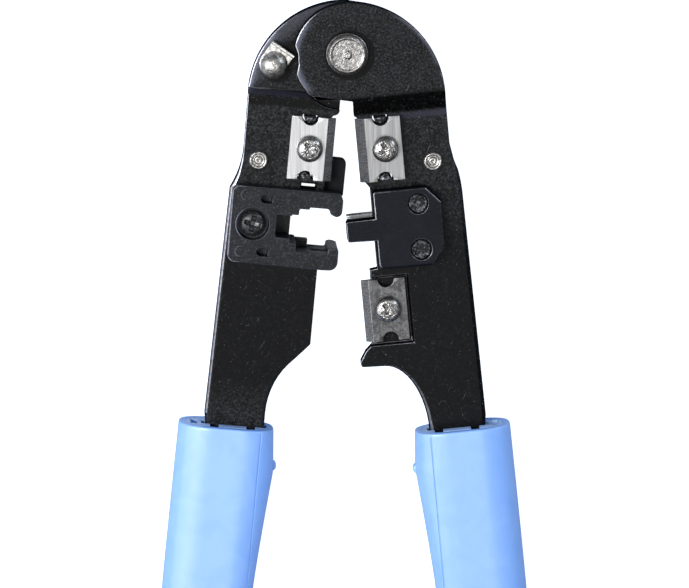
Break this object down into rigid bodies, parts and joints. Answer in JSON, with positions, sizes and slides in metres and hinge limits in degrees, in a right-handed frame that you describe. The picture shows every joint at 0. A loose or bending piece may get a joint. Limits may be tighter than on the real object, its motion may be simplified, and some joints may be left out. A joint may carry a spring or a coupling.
{
  "type": "modular plug crimping tool",
  "caption": "Hand crimping tool for modular telephone plugs, with strip blades, a crimping die, a press block and a cable cutter between two sprung handles.",
  "frame": {"origin": "middle of the tool's underside, in the plane it lies on, at the centre of its bounding rectangle with the jaws open", "axes": "+Y along the tool towards the head, +Z out of the face that carries the blades, +X to the right of that face"},
  "size_m": [0.0916, 0.1936, 0.014],
  "materials": {
    "black_steel": "blackened steel plate, satin, with fine bright scratches and worn edges",
    "press_black": "smooth blue-black coated steel",
    "black_plastic": "moulded black nylon, satin",
    "black_screw": "blackened screw",
    "plated_steel": "nickel plated, slightly rough",
    "spring_steel": "drawn spring wire",
    "blade_steel": "ground blade steel",
    "cutter_steel": "dull grey hardened blade",
    "blue_handle": "light blue moulded plastic, satin gloss",
    "blue_core": "blue moulded liner"
  },
  "bodies": {
    "left_half": {"left_frame": "black_steel", "pivot_rivet": "plated_steel", "latch_rivet": "plated_steel", "left_spring_rivet": "plated_steel", "return_spring": "spring_steel", "left_strip_blade": "blade_steel", "left_blade_screw": "plated_steel", "left_pin_upper": "black_steel", "left_pin_lower": "black_steel", "strip_stop": "black_plastic", "crimp_die": "black_plastic", "die_screw": "black_screw", "left_handle_shell": "blue_handle", "left_handle_core": "blue_core"},
    "right_half": {"right_frame": "black_steel", "right_spring_rivet": "plated_steel", "right_strip_blade": "blade_steel", "right_blade_screw": "plated_steel", "right_pin_upper": "black_steel", "right_pin_lower": "black_steel", "cutter_blade": "cutter_steel", "cutter_screw": "plated_steel", "press_block": "press_black", "contact_punch": "blade_steel", "press_rivet_upper": "press_black", "press_rivet_lower": "press_black", "right_handle_shell": "blue_handle", "right_handle_core": "blue_core"},
    "latch": {"swivel_latch": "plated_steel"}
  },
  "joints": [
    {"name": "jaw_close", "type": "hinge", "parent": "left_half", "child": "right_half", "pos_m": [0.0005, 0.0852, 0.007], "axis": [0, 0, -1], "range_deg": [0, 10.4], "stiffness_Nm_per_rad": 1.5, "springref_deg": -11.46, "deforming": ["return_spring"]},
    {"name": "latch_swivel", "type": "hinge", "parent": "left_half", "child": "latch", "pos_m": [-0.01571, 0.08257, 0.0077], "axis": [0, 0, 1], "range_deg": [0, 60]}
  ]
}
